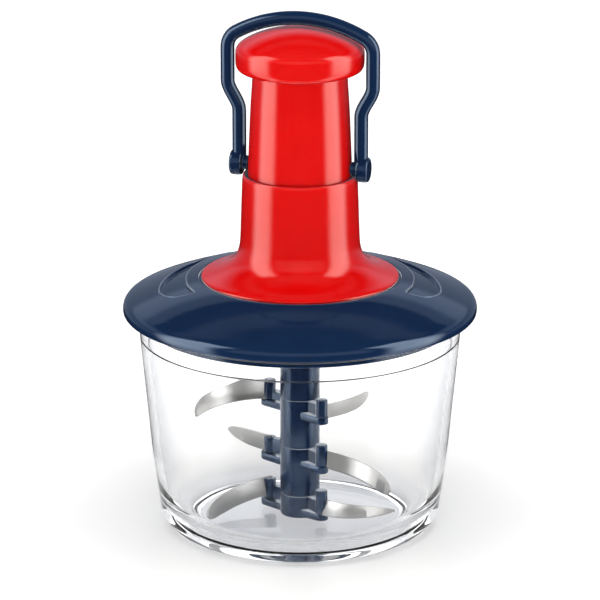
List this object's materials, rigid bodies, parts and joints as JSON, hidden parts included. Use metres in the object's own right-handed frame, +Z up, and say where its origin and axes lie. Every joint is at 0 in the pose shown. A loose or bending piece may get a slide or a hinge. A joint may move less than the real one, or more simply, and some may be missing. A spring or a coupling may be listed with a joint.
{
  "type": "plunger food chopper",
  "caption": "Hand food chopper: clear tapered bowl, domed lid, press knob with swinging bail, twisted spindle turning a shaft of curved blades.",
  "frame": {"origin": "centre of the bowl's contact ring, on the surface that it stands on", "axes": "+Z up along the blade shaft; -Y towards the front, where the bail's right disc (+X) is nearer; +X to the right; the two finger recesses in the lid mirror each other across X = 0"},
  "size_m": [0.2, 0.2, 0.2986],
  "materials": {
    "clear_plastic": "clear, polished",
    "navy_plastic": "gloss",
    "red_plastic": "gloss",
    "dark_rubber": "satin",
    "natural_plastic": "satin",
    "plain_steel": "satin",
    "blade_steel": "fine ground"
  },
  "bodies": {
    "bowl": {"bowl": "clear_plastic", "bowl_pivot_pin": "plain_steel"},
    "lid": {"lid_cover": "navy_plastic", "lid_inner_plate": "navy_plastic", "lid_gasket": "dark_rubber", "drive_housing": "red_plastic", "sleeve_guide_ring": "dark_rubber", "spindle_bearing": "natural_plastic", "return_spring": "plain_steel", "housing_screw_1": "plain_steel", "housing_screw_2": "plain_steel", "housing_screw_3": "plain_steel", "housing_screw_4": "plain_steel", "inner_plate_screw_1": "plain_steel", "inner_plate_screw_2": "plain_steel", "inner_plate_screw_3": "plain_steel", "inner_plate_screw_4": "plain_steel"},
    "plunger": {"knob": "red_plastic", "knob_screw": "plain_steel", "barrel": "red_plastic", "spindle_nut": "natural_plastic", "nut_screw_left": "plain_steel", "nut_screw_right": "plain_steel", "bail_pivot_pin_left": "navy_plastic", "bail_pivot_pin_right": "navy_plastic"},
    "bail": {"bail": "navy_plastic"},
    "drive": {"twisted_spindle": "plain_steel", "clutch_ratchet": "plain_steel", "drive_hub": "natural_plastic", "hub_retaining_clip": "plain_steel", "spring_seat": "natural_plastic"},
    "blade_stack": {"shaft_head_tube": "navy_plastic", "shaft_core_rod": "plain_steel", "blade_carrier_top": "navy_plastic", "blade_carrier_middle": "navy_plastic", "blade_carrier_bottom": "navy_plastic", "blade_top_left": "blade_steel", "blade_top_right": "blade_steel", "blade_middle_left": "blade_steel", "blade_middle_right": "blade_steel", "blade_bottom_left": "blade_steel", "blade_bottom_right": "blade_steel", "blade_post_top_left": "navy_plastic", "blade_post_top_right": "navy_plastic", "blade_post_middle_left": "navy_plastic", "blade_post_middle_right": "navy_plastic", "blade_post_bottom_left": "navy_plastic", "blade_post_bottom_right": "navy_plastic"}
  },
  "joints": [
    {"name": "lid_lift", "type": "slide", "parent": "bowl", "child": "lid", "axis": [0, 0, 1], "range_m": [0, 0.13]},
    {"name": "plunger_stroke", "type": "slide", "parent": "lid", "child": "plunger", "axis": [0, 0, 1], "range_m": [0, 0.056], "deforming": ["return_spring"]},
    {"name": "bail_swing", "type": "hinge", "parent": "plunger", "child": "bail", "pos_m": [0, 0, 0.2105], "axis": [0.9703, -0.2419, 0], "range_deg": [-95, 95]},
    {"name": "spindle_spin", "type": "hinge", "parent": "lid", "child": "drive", "pos_m": [0, 0, 0.13], "axis": [0, 0, 1], "range_deg": [0, 540]},
    {"name": "blade_spin", "type": "hinge", "parent": "bowl", "child": "blade_stack", "pos_m": [0, 0, 0.005], "axis": [0, 0, 1], "range_deg": [0, 540]}
  ],
  "couplings": [
    {"joint": "spindle_spin", "follows": "plunger_stroke", "rad_per_m": 167.55},
    {"joint": "blade_spin", "follows": "plunger_stroke", "rad_per_m": 167.55}
  ]
}
